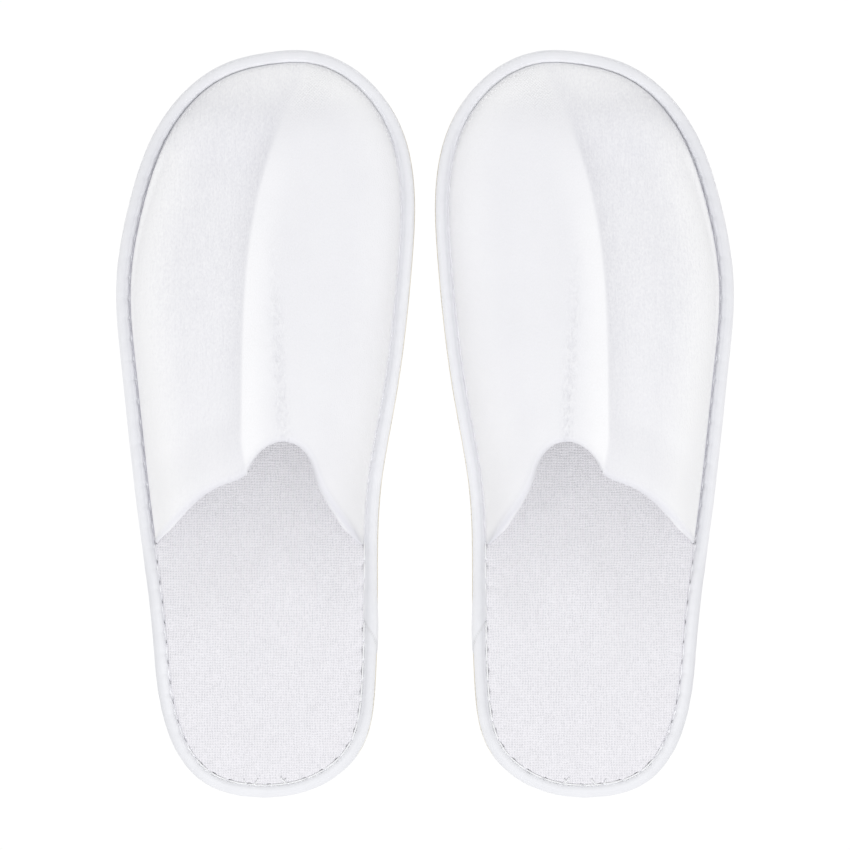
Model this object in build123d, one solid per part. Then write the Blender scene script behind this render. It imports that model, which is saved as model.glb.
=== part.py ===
from build123d import *
from math import cos, pi
import os

# A pair of closed-toe spa slippers, in millimetres. The frame's origin is on the floor, midway
# between the two slippers; +Y points to the toes and +Z up. Shapes are drawn for the right
# slipper, with x measured from its innermost edge, and the left one is its mirror image.

# Pair
PAIR_GAP = 8.4  # between the innermost edges of the two slippers

# Stack of the sole, from the floor up
OUTSOLE_RIM = 4.0  # foam rubber under the bound edge
BINDING_T = 0.7  # one layer of the edge tape
BACKING_T = 0.5  # non-woven cloth under the padding
PADDING_T = 2.5
COVER_T = 1.8  # terry cloth underfoot
BED_BOTTOM = OUTSOLE_RIM + BINDING_T
PADDING_BOTTOM = BED_BOTTOM + BACKING_T
COVER_BOTTOM = PADDING_BOTTOM + PADDING_T
BED_TOP = COVER_BOTTOM + COVER_T
EDGE_TOP = BED_TOP + BINDING_T

# Bound edge, where an inset is the distance in from the slipper's outline
BINDING_REACH = 5.4  # width of the tape seen from above
BINDING_ROUND = 3.0  # rounding of the tape's bead
OUTSOLE_SHIFT = 0.8  # the glued-on outsole sits this far towards the other slipper
OUTSOLE_INSET = 0.5
WINDOW_GAP = 0.1  # between the outsole's raised middle and the tape round it

# Lockstitch seam that holds the edge together
STITCH_INSET = 4.5
STITCH_PITCH = 8.0
STITCH_L = 6.0
STITCH_W = 0.8
STITCH_H = 0.35
GROOVE_W = 1.4  # room for the under-thread in the outsole
GROOVE_H = 0.4

# Upper: three layers of cloth that stand on the bed just inside the edge tape
SEAM_INSET = BINDING_REACH + 0.4
PILE_T = 1.6
SPONGE_T = 2.0
LINING_T = 0.6
MARGIN_INSET = BINDING_ROUND + 0.4  # the pile cloth's sewn margin runs out to here, under the tape
MARGIN_T = 0.8
HEM_EDGE = 1.4  # the pile cloth turns round the sponge at the throat
HEM_INSIDE = 8.0  # and ends this far inside
SPONGE_DEPTH = PILE_T
LINING_DEPTH = SPONGE_DEPTH + SPONGE_T
FOOT_DEPTH = LINING_DEPTH + LINING_T

# Height of the upper above the bed
UPPER_BACK = 42.0  # ridge height at the throat
UPPER_TOE = 17.0  # ridge height where the toe starts to round over
TOE_ROUND_L = 34.0  # length of that rounding
TAIL_Y = -52.0  # the uncut upper runs back to here
ROUND_START_Y = 104.0

# Outline of the sole, from the toe tip round the inner side, the heel and the outer side
OUTLINE = [
    (48.5, 142.5),  # toe tip
    (22.8, 135.5),
    (5.8, 114.8),
    (0.0, 87.5),  # ball, inner side
    (0.9, 62.0),
    (7.4, 8.0),
    (12.9, -25.0),  # waist
    (14.1, -60.0),
    (15.0, -100.0),
    (21.0, -125.3),
    (37.5, -138.8),
    (58.1, -142.4),  # heel
    (81.2, -136.0),
    (94.8, -114.5),
    (99.6, -81.0),
    (106.0, -29.0),
    (111.2, 19.0),
    (113.5, 53.0),  # ball, outer side
    (108.2, 85.8),
    (96.6, 115.3),
    (76.4, 135.3),
]

INSET_STOPS = 48  # points that carry an outline drawn in from this one

# Edge of the throat seen from above, from the outer wing to the inner wing
THROAT = [
    (98.4, -45.9),
    (87.8, -33.8),
    (71.8, -22.6),
    (62.8, -18.3),  # where the pressed fold meets the edge
    (59.6, -12.8),
    (55.0, -8.2),
    (49.2, -6.4),  # deepest point of the throat
    (42.5, -8.4),
    (38.0, -14.2),
    (35.6, -21.0),
    (27.6, -34.6),
    (19.7, -46.7),
]

# The pressed fold, which is the upper's ridge: its x at each y
RIDGE = [(-52.0, 65.0), (45.0, 63.6), (72.0, 61.6), (95.0, 56.5), (112.0, 51.5), (137.0, 48.2)]

# Cross-section of the upper: share of the way from its base to the ridge, and share of its height
INNER_SIDE = [(0.0, 0.0), (0.02, 0.3), (0.13, 0.6), (0.34, 0.82), (0.62, 0.95), (0.82, 0.975)]
OUTER_SIDE = [(0.68, 0.89), (0.40, 0.70), (0.15, 0.48), (0.02, 0.24), (0.0, 0.0)]

# Cross-sections of the upper along its length, crowded towards the tail and the toe tip
STATION_COUNT = 14
STATIONS = [(1 - cos(pi * k / STATION_COUNT)) / 2 for k in range(STATION_COUNT)]


def outline_face(inset=0.0):
    """The sole's outline, drawn in by inset, as a face on the floor."""
    edge = Spline(*OUTLINE, periodic=True)
    if inset:
        stops = [k / INSET_STOPS for k in range(INSET_STOPS)]
        edge = Spline(*(inward(edge, stop, inset) for stop in stops), periodic=True)
    return make_face(edge).face()


def inward(edge, stop, inset):
    """The point that lies inset to the left of an edge, at a share of its length."""
    along = edge.tangent_at(stop)
    return edge.position_at(stop) + Vector(-along.Y, along.X) * inset


def slab(face, bottom, top):
    return extrude(Pos(0, 0, bottom) * face, top - bottom, dir=(0, 0, 1))


def rounded_slab(inset, bottom, top, radius):
    """A slab whose upper and lower rims are rounded."""
    block = slab(outline_face(inset), bottom, top)
    return fillet(block.edges().filter_by(GeomType.LINE, reverse=True), radius)


def outsole():
    """Foam rubber with a raised middle that fills the window in the tape's lower layer."""
    rim = Pos(-OUTSOLE_SHIFT, 0, 0) * slab(outline_face(OUTSOLE_INSET), 0, OUTSOLE_RIM)
    middle = slab(outline_face(BINDING_REACH + WINDOW_GAP), OUTSOLE_RIM, BED_BOTTOM)
    return rim - thread_groove() + middle


def thread_groove():
    """The shallow groove that the under-thread presses into the foam rubber."""
    outside = outline_face(STITCH_INSET - GROOVE_W / 2)
    inside = outline_face(STITCH_INSET + GROOVE_W / 2)
    bottom = OUTSOLE_RIM - GROOVE_H
    return slab(outside, bottom, OUTSOLE_RIM) - slab(inside, bottom, OUTSOLE_RIM)


def tape_outside():
    return rounded_slab(0, OUTSOLE_RIM, EDGE_TOP, BINDING_ROUND)


def tape_inside():
    return rounded_slab(BINDING_T, BED_BOTTOM, BED_TOP, BINDING_ROUND - BINDING_T)


def edge_binding():
    """Tape folded round the whole edge."""
    window = slab(outline_face(BINDING_REACH), OUTSOLE_RIM, EDGE_TOP)
    return tape_outside() - tape_inside() - window


def bed_layer(bottom, top):
    """The slice of the bound bed between two heights."""
    box = Box(400, 400, top - bottom, align=(Align.CENTER, Align.CENTER, Align.MIN))
    return tape_inside() & (Pos(0, 0, bottom) * box)


def stitches(height, roll=0):
    """The seam's stitches, each a bar lying on the given height or, rolled by 180, under it."""
    bar = extrude(Rectangle(STITCH_L, STITCH_W), STITCH_H)
    line = outline_face(STITCH_INSET).outer_wire()
    count = round(line.length / STITCH_PITCH)
    placed = []
    for k in range(count):
        at = line.position_at(k / count)
        along = line.tangent_at(k / count)
        turn = Vector(1, 0, 0).get_signed_angle(along, Vector(0, 0, 1))
        placed.append(Pos(at.X, at.Y, height) * Rot(0, 0, turn) * Rot(roll, 0, 0) * bar)
    return Compound(children=[s.solid() for s in placed])


def between(table, key):
    """Straight-line reading of a table of (key, value) pairs."""
    for (k0, v0), (k1, v1) in zip(table, table[1:]):
        if key <= k1:
            return v0 + (v1 - v0) * (key - k0) / (k1 - k0)
    return table[-1][1]


def ridge_height(y, tip_y, depth):
    """Height of the ridge above the bed, for the surface that lies depth inside the cloth."""
    along = (y - TAIL_Y) / (ROUND_START_Y - TAIL_Y)
    height = UPPER_BACK + (UPPER_TOE - UPPER_BACK) * along
    into_toe = max(0.0, (y - (tip_y - TOE_ROUND_L)) / TOE_ROUND_L)
    return height * (1 - into_toe**2.6) ** 0.45 - depth


def upper_section(base_face, y, tip_y, depth):
    """One cross-section of the upper, as a face across the slipper."""
    across = (Line((-50, y), (170, y)) & base_face).edge()
    inner, outer = sorted((across @ 0, across @ 1), key=lambda p: p.X)
    ridge_x = between(RIDGE, y)
    height = ridge_height(y, tip_y, depth)
    crown = [(inner.X + (ridge_x - inner.X) * s, y, BED_TOP + height * h) for s, h in INNER_SIDE]
    crown.append((ridge_x, y, BED_TOP + height))
    crown += [(outer.X + (ridge_x - outer.X) * s, y, BED_TOP + height * h) for s, h in OUTER_SIDE]
    arch = Spline(*crown)
    return make_face([arch, Line(arch @ 1, arch @ 0)])


def upper_form(depth):
    """The solid under the upper's surface, drawn in by depth and not yet cut at the throat."""
    base = outline_face(SEAM_INSET + depth)
    tip_y = base.bounding_box().max.Y
    stations = [TAIL_Y + (tip_y - TAIL_Y) * s for s in STATIONS]
    return loft([upper_section(base, y, tip_y, depth) for y in stations])


def behind_throat(forward=0.0):
    """Everything behind the throat's edge, which is moved forward by that much."""
    edge = Spline(*THROAT)
    outer, inner = THROAT[0], THROAT[-1]
    rear = Polyline(inner, (-30, inner[1] - 3), (-30, -160), (160, -160), (160, outer[1] - 3), outer)
    return Pos(0, forward, 0) * slab(make_face([edge, rear]), 0, 80)


def upper_layers():
    """The pile cloth, the sponge and the lining."""
    outside, under_pile, under_sponge, inside = (
        upper_form(depth) for depth in (0, SPONGE_DEPTH, LINING_DEPTH, FOOT_DEPTH)
    )
    sponge = under_pile - under_sponge - behind_throat(HEM_EDGE)
    lining = under_sponge - inside - behind_throat(HEM_INSIDE)
    pile = outside - behind_throat() - sponge - lining - inside
    return pile + sewn_margin(), sponge, lining


def sewn_margin():
    """The pile cloth's flat margin, which the tape holds down."""
    outside = slab(outline_face(MARGIN_INSET), BED_TOP - MARGIN_T, BED_TOP)
    inside = slab(outline_face(SEAM_INSET + PILE_T / 2), BED_TOP - MARGIN_T, BED_TOP)
    return outside - inside - behind_throat()


def right_slipper():
    """Each piece of the right slipper by name."""
    pile, sponge, lining = upper_layers()
    return {
        "outsole": outsole(),
        "insole_backing": bed_layer(BED_BOTTOM, PADDING_BOTTOM),
        "insole_padding": bed_layer(PADDING_BOTTOM, COVER_BOTTOM),
        "insole_cover": bed_layer(COVER_BOTTOM, BED_TOP) - sewn_margin(),
        "edge_binding": edge_binding(),
        "needle_thread": stitches(EDGE_TOP),
        "under_thread": stitches(OUTSOLE_RIM, roll=180),
        "upper_pile": pile,
        "upper_sponge": sponge,
        "upper_lining": lining,
    }


os.makedirs("parts", exist_ok=True)
for name, piece in right_slipper().items():
    right = Pos(PAIR_GAP / 2, 0, 0) * piece
    export_step(right, f"parts/right_{name}.step")
    export_step(mirror(right, about=Plane.YZ), f"parts/left_{name}.step")
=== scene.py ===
import math

import bmesh
import bpy
import numpy as np
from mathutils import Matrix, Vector, noise
from mathutils.bvhtree import BVHTree
from mathutils.kdtree import KDTree


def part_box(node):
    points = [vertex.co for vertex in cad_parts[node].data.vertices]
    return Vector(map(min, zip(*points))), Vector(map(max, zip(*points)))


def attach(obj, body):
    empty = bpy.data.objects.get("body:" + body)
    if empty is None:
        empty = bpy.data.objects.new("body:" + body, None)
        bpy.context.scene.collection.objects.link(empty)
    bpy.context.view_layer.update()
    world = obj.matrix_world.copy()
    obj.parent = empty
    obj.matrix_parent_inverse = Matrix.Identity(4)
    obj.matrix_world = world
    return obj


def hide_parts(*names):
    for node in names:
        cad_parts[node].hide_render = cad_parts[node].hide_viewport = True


# Looks for a pair of closed-toe spa slippers. Lengths are in metres. Every shape is worked out
# for the right slipper, and the left one is its mirror image in the plane x = 0.

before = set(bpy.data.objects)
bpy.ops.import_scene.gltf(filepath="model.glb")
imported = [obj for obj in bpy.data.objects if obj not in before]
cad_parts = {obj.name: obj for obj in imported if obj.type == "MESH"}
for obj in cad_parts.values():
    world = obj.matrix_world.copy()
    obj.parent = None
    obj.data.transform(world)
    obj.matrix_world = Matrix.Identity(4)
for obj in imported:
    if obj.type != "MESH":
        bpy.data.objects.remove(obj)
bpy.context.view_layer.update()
MM = 0.001

# Heights, from the frame
RIM_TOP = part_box("right_edge_binding")[0].z  # where the tape starts, on top of the outsole
EDGE_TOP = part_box("right_edge_binding")[1].z
BED_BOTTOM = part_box("right_insole_backing")[0].z
PADDING_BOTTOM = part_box("right_insole_padding")[0].z
COVER_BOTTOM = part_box("right_insole_cover")[0].z
BED_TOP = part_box("right_insole_cover")[1].z
TAPE_T = EDGE_TOP - BED_TOP

# Sole outline
LOOP = 960  # points round the outline
OUTLINE_WAVES = 30  # the facets' finer ripples are left out
SPINE_INSET = 42 * MM  # the sole's middle line ends this far from toe and heel
SPINE_STOPS = 100
RIM_CROWDING = 1.6  # rings crowd towards the rim

# Tape round the edge
BEAD_W = 2.7 * MM  # from the outline to the bead's top
BEAD_REACH = 5.0 * MM  # the tape dives into the seam this far in from the outline
BEAD_TURNS = np.radians([-90, -60, -30, 0, 30, 60, 90])
DENT_DEPTH = 0.15 * MM  # at each stitch, and as much again on the outer side
LAP_SHARE = 0.235  # where the tape's ends overlap on the inner side, from heel to toe
LAP_SLANT = 26 * MM
LAP_T = 0.6 * MM
DEEPEST_SHADE_AT = 3.4 * MM  # beside the upper the painted shade on the tape is deepest this far in from the outline

# Seam between tape, upper and insole
SEAM_INSET = 5.2 * MM  # foot of the upper
OUTER_SEAM_SHIFT = 0.5 * MM  # it stands further in on the outer side
STITCH_PITCH = 8.0 * MM
STITCH_INSET = 4.85 * MM
STITCH_W = 1.0 * MM  # each stitch pulls the cloth down over this width
UNDER_INSET = 4.9 * MM
OUTSOLE_SHIFT = 0.8 * MM  # the outsole is glued on this far towards the inner side

# Foot bed
CROWN_H = 0.55 * MM
CROWN_W = 14 * MM  # the bed rises to its crown over this width
PINCH_H = 0.85 * MM  # the stitches press the bed down this far

# Thread
THREAD_R = 0.38 * MM
THREAD_SIDES = 8
TWIST_L = 1.7 * MM
TAIL_RISE = 1.6 * MM

# Cut ends of the needle thread at the heel: distance from the heel's middle, length, the
# direction that each leaves in and how far it curls, in radians
TAILS = [
    (-9 * MM, 3.5 * MM, 0.2, 0.5),
    (-7.5 * MM, 2.0 * MM, 2.6, -0.6),
    (6 * MM, 3.2 * MM, 2.9, -0.5),
    (8 * MM, 2.2 * MM, 0.6, 0.4),
]

# Upper
RIBS = 400
RIB_STOPS = 150
CLOTH_T = 1.6 * MM
SPONGE_T = 2.0 * MM
LINING_T = 0.6 * MM
UPPER_T = CLOTH_T + SPONGE_T + LINING_T
HEM_L = 8.0 * MM
PINCH_L = 9 * MM  # the upper's layers are pressed thin over this length at the seam
PINCHED_TO = 0.22  # share of their thickness that is left at the seam
WING_L = 22 * MM  # shorter ribs than this belong to the wings, where the cloth's edge is thinner
TOE_ROUND_L = 40 * MM
ARCH_POWER = 3.2  # how steeply the upper rises from the seam
TOE_POWER = 0.75  # how steeply its ridge comes down to the toe
RIDGE_SPAN = (0.35, 0.6)  # the ridge stays in this part of the upper's width
SKETCH_STOPS = 500  # points of a rib before it is spaced evenly

# Pressed crease and soft middle line of the upper
CREASE_OFF = 7.8 * MM  # from the sole's middle towards the outer side
CREASE_BEND = 16 * MM  # it swings this far inwards before the toe
CREASE_L = 118 * MM
CREASE_POWER = 3.3
CREASE_BACK = 2.0 * MM  # and this far at the throat
OUTER_DROP = 4.2 * MM  # the cloth falls this much beside the crease
INNER_DROP = 1.3 * MM
LINE_SLOPE = 0.063
LINE_DEPTH = 0.25 * MM
RELIEF_RISE = 9 * MM  # creases are full where the upper stands this high over the bed

# Zones along the upper: each starts at the first y and is full at the second
CREASE_ZONE = (120 * MM, 96 * MM)
LINE_ZONE = (90 * MM, 25 * MM)
PUCKER_ZONE = (90 * MM, 15 * MM)
STRIP_HIGHLIGHT_ZONE = (120 * MM, 60 * MM)
BLURRED_ZONE = (100 * MM, 125 * MM)
FRONT_ZONE = (-60 * MM, 60 * MM)

# Cloth patterns
KNIT_PITCH = 1.0 * MM
LOOP_TURN = 0.7  # radians; the toe's loops lie in slanting rows

# Colours
# PILE_GREY and PILE_BRIGHT are the shaded and the lit ends of the painted light and shade on the
# pile
PILE_GREY = (0.735, 0.735, 0.775, 1)
PILE_BRIGHT = (0.965, 0.965, 0.972, 1)
# painted shade in the seam at the upper's foot
PILE_SEAM_SHADE = (0.68, 0.68, 0.73, 1)
TERRY_GREY = (0.83, 0.82, 0.85, 1)
TERRY_BRIGHT = (0.87, 0.86, 0.89, 1)
TERRY_HOLE_SHADE = (0.72, 0.72, 0.752, 1)
# TAPE_PALE is the tape where no painted shade lies; TAPE_GREY is the end that painted shade and
# random patches move it towards
TAPE_PALE = (0.965, 0.97, 0.99, 1)
TAPE_GREY = (0.6, 0.605, 0.635, 1)

# Floor, lights and view
FLOOR_W = 8.0
FLOOR_GLOW = 1.02
WORLD_COLOUR = (0.985, 0.985, 1.0, 1)
WORLD_LIGHT = 0.62
KEY_PLACE = (0, 1.1, 0.8)  # beyond the toes
KEY_W = 0.25
KEY_POWER = 1.5
FILL_PLACE = (0, -1.2, 2.1)  # beyond the heels
FILL_W = 0.8
FILL_POWER = 27.5
FOCAL_L = 250  # millimetres on the camera's sensor
FRAMING = 1.137  # the view is this many times as wide as a sole is long
CAMERA_Y = -0.4 * MM


def smoothstep(low, high, value):
    t = np.clip((value - low) / (high - low), 0, 1)
    return t * t * (3 - 2 * t)


def bump_at(value, centre, width):
    """A smooth hump of height 1."""
    return np.exp(-(((value - centre) / width) ** 2))


def ripples(points, size, seed=0.0):
    """Smooth noise between about -1 and 1 at each point, with features of that size."""
    flat = np.asarray(points, float).reshape(-1, 3) / size + seed
    values = [noise.noise(Vector(p)) for p in flat]
    return np.array(values).reshape(np.shape(points)[:-1])


# ---------------------------------------------------------------- reading the frame


def cad_tree(node):
    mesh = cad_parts[node].data
    return BVHTree.FromPolygons([v.co for v in mesh.vertices], [p.vertices for p in mesh.polygons])


def evenly(points, count, closed):
    """The same line through that many evenly spaced points."""
    line = np.vstack([points, points[:1]]) if closed else np.asarray(points)
    steps = np.linalg.norm(np.diff(line, axis=0), axis=1)
    along = np.concatenate([[0], np.cumsum(steps)])
    stops = np.linspace(0, along[-1], count, endpoint=not closed)
    return np.stack([np.interp(stops, along, line[:, k]) for k in range(line.shape[1])], axis=1)


def read_outline():
    """The sole's outline as evenly spaced points, anticlockwise from the outer side."""
    low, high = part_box("right_edge_binding")
    centre = (low + high) / 2
    tree = cad_tree("right_edge_binding")
    reach = (high - low).length
    hits = []
    for k in range(LOOP):
        turn = 2 * math.pi * k / LOOP
        ray = Vector((math.cos(turn), math.sin(turn), 0))
        hits.append(tree.ray_cast(centre + ray * reach, -ray)[0].xy)
    points = evenly(np.array(hits), LOOP, closed=True)
    waves = np.fft.fft(points[:, 0] + 1j * points[:, 1])
    waves[OUTLINE_WAVES:-OUTLINE_WAVES] = 0
    smooth = np.fft.ifft(waves)
    return evenly(np.stack([smooth.real, smooth.imag], axis=1), LOOP, closed=True)


def inward_of(loop):
    along = np.roll(loop, -1, axis=0) - np.roll(loop, 1, axis=0)
    along /= np.linalg.norm(along, axis=1)[:, None]
    return np.stack([-along[:, 1], along[:, 0]], axis=1)


OUTLINE = read_outline()
INWARD = inward_of(OUTLINE)
ARC = np.linalg.norm(OUTLINE - np.roll(OUTLINE, 1, axis=0), axis=1).sum() / LOOP
STITCHES = round(LOOP * ARC / STITCH_PITCH)
SOLE_LOW = OUTLINE.min(axis=0)
SOLE_HIGH = OUTLINE.max(axis=0)


def ring(inset):
    """The outline drawn in by inset, which may differ from point to point."""
    return OUTLINE + INWARD * np.broadcast_to(inset, (LOOP,))[:, None]


def read_throat():
    """The throat's edge seen from above, from the outer wing to the inner one."""
    low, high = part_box("right_upper_pile")
    tree = cad_tree("right_upper_pile")
    seat = Vector(((low.x + high.x) / 2, low.y + 1 * MM, 0))
    above = Vector((0, 0, high.z + 10 * MM))

    def covered(point):
        return tree.ray_cast(point + above, Vector((0, 0, -1)))[0] is not None

    edge = []
    for turn in np.linspace(0, math.pi, 181):
        ray = Vector((math.cos(turn), math.sin(turn), 0))
        reach = 0.0
        step = 1 * MM
        while step > 0.02 * MM:
            if covered(seat + ray * (reach + step)):
                step /= 2
            else:
                reach += step
        edge.append((seat + ray * reach).xy)
    edge = evenly(np.array(edge), RIBS, closed=False)
    for _ in range(12):
        edge[1:-1] = (edge[:-2] + 2 * edge[1:-1] + edge[2:]) / 4
    return edge


THROAT = read_throat()
WING_Y = THROAT[0, 1]


# ---------------------------------------------------------------- the upper's surface


def outer_flank(finer=1):
    """1 along the outer side, 0 round the heel and toe and on the inner side."""
    share = smoothstep(0.55, 0.95, -INWARD[:, 0])
    return np.interp(np.arange(finer * LOOP) / finer, np.arange(LOOP), share)


def seam_side(side):
    """x and y of the foot of the upper on one side, from the heel's end to the toe."""
    points = ring(SEAM_INSET + OUTER_SEAM_SHIFT * outer_flank())
    toe = int(points[:, 1].argmax())
    turned = np.roll(points, -toe, axis=0)
    heel = int(turned[:, 1].argmin())
    inner = turned[: heel + 1][::-1]
    outer = turned[heel:]
    return inner if side == "inner" else np.vstack([outer, turned[:1]])


INNER_SEAM = seam_side("inner")
OUTER_SEAM = seam_side("outer")
TIP_Y = INNER_SEAM[-1, 1]
TIP_X = INNER_SEAM[-1, 0]
CREASE_X = (SOLE_LOW[0] + SOLE_HIGH[0]) / 2 + CREASE_OFF


def toe_zone(y, start, full):
    """0 further back from the toe's tip than start, 1 nearer to it than full."""
    return smoothstep(TIP_Y - start, TIP_Y - full, y)


def crease_x(y):
    """The pressed fold seen from above. It swings inwards near the toe and at the throat."""
    forward = CREASE_BEND * np.clip(y / CREASE_L, 0, None) ** CREASE_POWER
    back = CREASE_BACK * smoothstep(-4 * MM, -20 * MM, y)
    return CREASE_X - forward - back


def line_x(y):
    """The soft middle line of the upper, which runs from the throat's deepest point."""
    return THROAT[THROAT[:, 1].argmax(), 0] + LINE_SLOPE * (y - THROAT[:, 1].max())


def read_ridge():
    """Height of the upper above the bed on its crease, as a straight line in y."""
    tree = cad_tree("right_upper_pile")
    stations = np.array([0.0, 90 * MM])
    heights = []
    for y in stations:
        start = Vector((float(crease_x(y)), y, 1))
        heights.append(tree.ray_cast(start, Vector((0, 0, -1)))[0].z - BED_TOP)
    slope = (heights[1] - heights[0]) / (stations[1] - stations[0])
    return heights[0], slope


RIDGE_H, RIDGE_SLOPE = read_ridge()


def dome(x, y):
    """Height of the upper's plain surface above the bed."""
    inner = np.interp(y, INNER_SEAM[:, 1], INNER_SEAM[:, 0])
    outer = np.interp(y, OUTER_SEAM[:, 1], OUTER_SEAM[:, 0])
    lowest, highest = (inner + share * (outer - inner) for share in RIDGE_SPAN)
    ridge = np.clip(crease_x(y), lowest, highest)
    near_inner = x < ridge
    share = np.where(near_inner, (x - inner) / (ridge - inner), (outer - x) / (outer - ridge))
    arch = np.sqrt(1 - (1 - np.clip(share, 0, 1)) ** ARCH_POWER)
    into_toe = np.clip((y - (TIP_Y - TOE_ROUND_L)) / TOE_ROUND_L, 0, 1)
    toe = (1 - into_toe**2) ** TOE_POWER
    return (RIDGE_H + RIDGE_SLOPE * y) * toe * arch


def upper_relief(x, y):
    """Creases, puckers and unevenness of the upper, added to its plain surface."""
    off_crease = x - crease_x(y)
    outer_drop = -OUTER_DROP * (1 - np.exp(-np.clip(off_crease, 0, None) / (6 * MM)))
    inner_drop = -INNER_DROP * (1 - np.exp(np.clip(off_crease, None, 0) / (7 * MM)))
    crease = smoothstep(*CREASE_ZONE, y) * (outer_drop + inner_drop)
    off_line = x - line_x(y)
    points = np.stack([x, y, np.zeros_like(x)], axis=-1)
    drawn_out = np.stack([x, 0.5 * y, np.zeros_like(x)], axis=-1)
    knots = ripples(drawn_out, 3.0 * MM) + 0.8 * ripples(drawn_out, 1.8 * MM, 9.0)
    line = -LINE_DEPTH * bump_at(off_line, 0, 1.5 * MM) * (1 + 1.4 * knots)
    beside = LINE_DEPTH * bump_at(off_line, 2.5 * MM, 4 * MM) * ripples(drawn_out, 2.4 * MM, 21.0)
    swell = 0.5 * MM * ripples(points, 32 * MM, 7.0) + 0.12 * MM * ripples(points, 9 * MM, 3.0)
    return crease + smoothstep(*LINE_ZONE, y) * (line + beside) + swell


def seam_line():
    """The foot of the upper, from the outer wing round the toe to the inner wing."""
    outer = OUTER_SEAM[OUTER_SEAM[:, 1] > WING_Y]
    inner = INNER_SEAM[INNER_SEAM[:, 1] > WING_Y][::-1]
    first = [np.interp(WING_Y, OUTER_SEAM[:, 1], OUTER_SEAM[:, 0]), WING_Y]
    last = [np.interp(WING_Y, INNER_SEAM[:, 1], INNER_SEAM[:, 0]), WING_Y]
    return evenly(np.vstack([[first], outer, inner[1:], [last]]), RIBS, closed=False)


def upper_surface():
    """Ribs of the upper's outside, from the seam to the throat, with outward normals."""
    seam = seam_line()
    stops = np.linspace(0, 1, SKETCH_STOPS) ** 2
    reach = THROAT - seam
    length = np.linalg.norm(reach, axis=1)
    taper = smoothstep(0, WING_L, length)
    roll = UPPER_T / 2 * (0.25 + 0.75 * taper)
    short = np.clip(1 - roll / np.maximum(length, 1e-6), 0.3, 1)
    ribs = np.zeros((RIBS, RIB_STOPS, 3))
    for k in range(RIBS):
        flat = seam[k] + reach[k] * short[k] * stops[:, None]
        height = dome(flat[:, 0], flat[:, 1])
        raised = smoothstep(0, RELIEF_RISE, height)
        settled = 0.4 + 0.6 * smoothstep(0, WING_L, (1 - stops) * length[k])
        height += upper_relief(flat[:, 0], flat[:, 1]) * raised * settled
        rib = np.column_stack([flat, BED_TOP + height])
        ribs[k] = evenly(rib, RIB_STOPS, closed=False)
    across = np.gradient(ribs, axis=0)
    along = np.gradient(ribs, axis=1)
    normals = np.cross(along, across)
    normals /= np.maximum(np.linalg.norm(normals, axis=2, keepdims=True), 1e-12)
    return ribs, normals * np.sign(normals[..., 2].mean()), roll


SKIN, SKIN_NORMAL, ROLL_R = upper_surface()
RIB_TRAVEL = np.cumsum(np.linalg.norm(np.diff(SKIN[:, ::-1], axis=1), axis=2), axis=1)
RIB_TRAVEL = np.concatenate([np.zeros((RIBS, 1)), RIB_TRAVEL], axis=1)


def inside_ribs(first, last, count, depth):
    """Points inside the cloth, from first to last (lengths back from the throat) on each rib.

    The layers are pressed thinner towards the seam.
    """
    out = np.zeros((RIBS, count, 3))
    total = RIB_TRAVEL[:, -1]
    for k in range(RIBS):
        travel = np.linspace(min(first[k], total[k]), min(last[k], total[k]), count)
        pinch = PINCHED_TO + (1 - PINCHED_TO) * smoothstep(0, PINCH_L, total[k] - travel)
        point = [np.interp(travel, RIB_TRAVEL[k], SKIN[k, ::-1, axis]) for axis in range(3)]
        normal = [np.interp(travel, RIB_TRAVEL[k], SKIN_NORMAL[k, ::-1, axis]) for axis in range(3)]
        out[k] = np.array(point).T - np.array(normal).T * (depth[k] * pinch)[:, None]
    return out


def rolled_edge(stops):
    """A half turn of the cloth round the throat's edge."""
    end = SKIN[:, -1]
    normal = SKIN_NORMAL[:, -1]
    forward = SKIN[:, -1] - SKIN[:, -3]
    forward -= normal * (forward * normal).sum(axis=1)[:, None]
    forward /= np.linalg.norm(forward, axis=1)[:, None]
    middle = end - normal * ROLL_R[:, None]
    turns = [normal * math.cos(a) + forward * math.sin(a) for a in math.pi * stops]
    return np.stack([middle + ROLL_R[:, None] * turn for turn in turns], axis=1)


# ---------------------------------------------------------------- meshes


def mesh_object(name, points, faces):
    mesh = bpy.data.meshes.new(name)
    mesh.from_pydata([tuple(p) for p in points], [], faces)
    shape = bmesh.new()
    shape.from_mesh(mesh)
    bmesh.ops.remove_doubles(shape, verts=shape.verts, dist=0.002 * MM)
    bmesh.ops.dissolve_degenerate(shape, dist=0.001 * MM, edges=shape.edges)
    bmesh.ops.recalc_face_normals(shape, faces=shape.faces)
    shape.to_mesh(mesh)
    shape.free()
    mesh.shade_smooth()
    piece = bpy.data.objects.new(name, mesh)
    bpy.context.collection.objects.link(piece)
    return piece


def store(piece, name, values):
    """Keeps a number for each point of the piece, for its material to read."""
    piece.data.attributes.new(name, "FLOAT", "POINT").data.foreach_set("value", values)


def grid_faces(rows, columns, closed_rows, closed_columns):
    faces = []
    for r in range(rows if closed_rows else rows - 1):
        for c in range(columns if closed_columns else columns - 1):
            r2 = (r + 1) % rows
            c2 = (c + 1) % columns
            faces.append((r * columns + c, r * columns + c2, r2 * columns + c2, r2 * columns + c))
    return faces


def grid_piece(name, grid, capped=False, closed_columns=True):
    """A closed skin: each row of the grid is one section, and the sections join in a ring."""
    rows, columns = grid.shape[:2]
    faces = grid_faces(rows, columns, not capped, closed_columns)
    if capped:
        faces.append(tuple(range(columns)))
        faces.append(tuple(range((rows - 1) * columns, rows * columns)))
    return mesh_object(name, grid.reshape(-1, 3), faces)


def swept(profile):
    """The closed grid that a profile of (inset, height) pairs makes round the outline."""
    insets, heights = profile[..., 0], profile[..., 1]
    flat = OUTLINE[:, None, :] + INWARD[:, None, :] * insets[..., None]
    return np.concatenate([flat, np.broadcast_to(heights, flat.shape[:2])[..., None]], axis=2)


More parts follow.
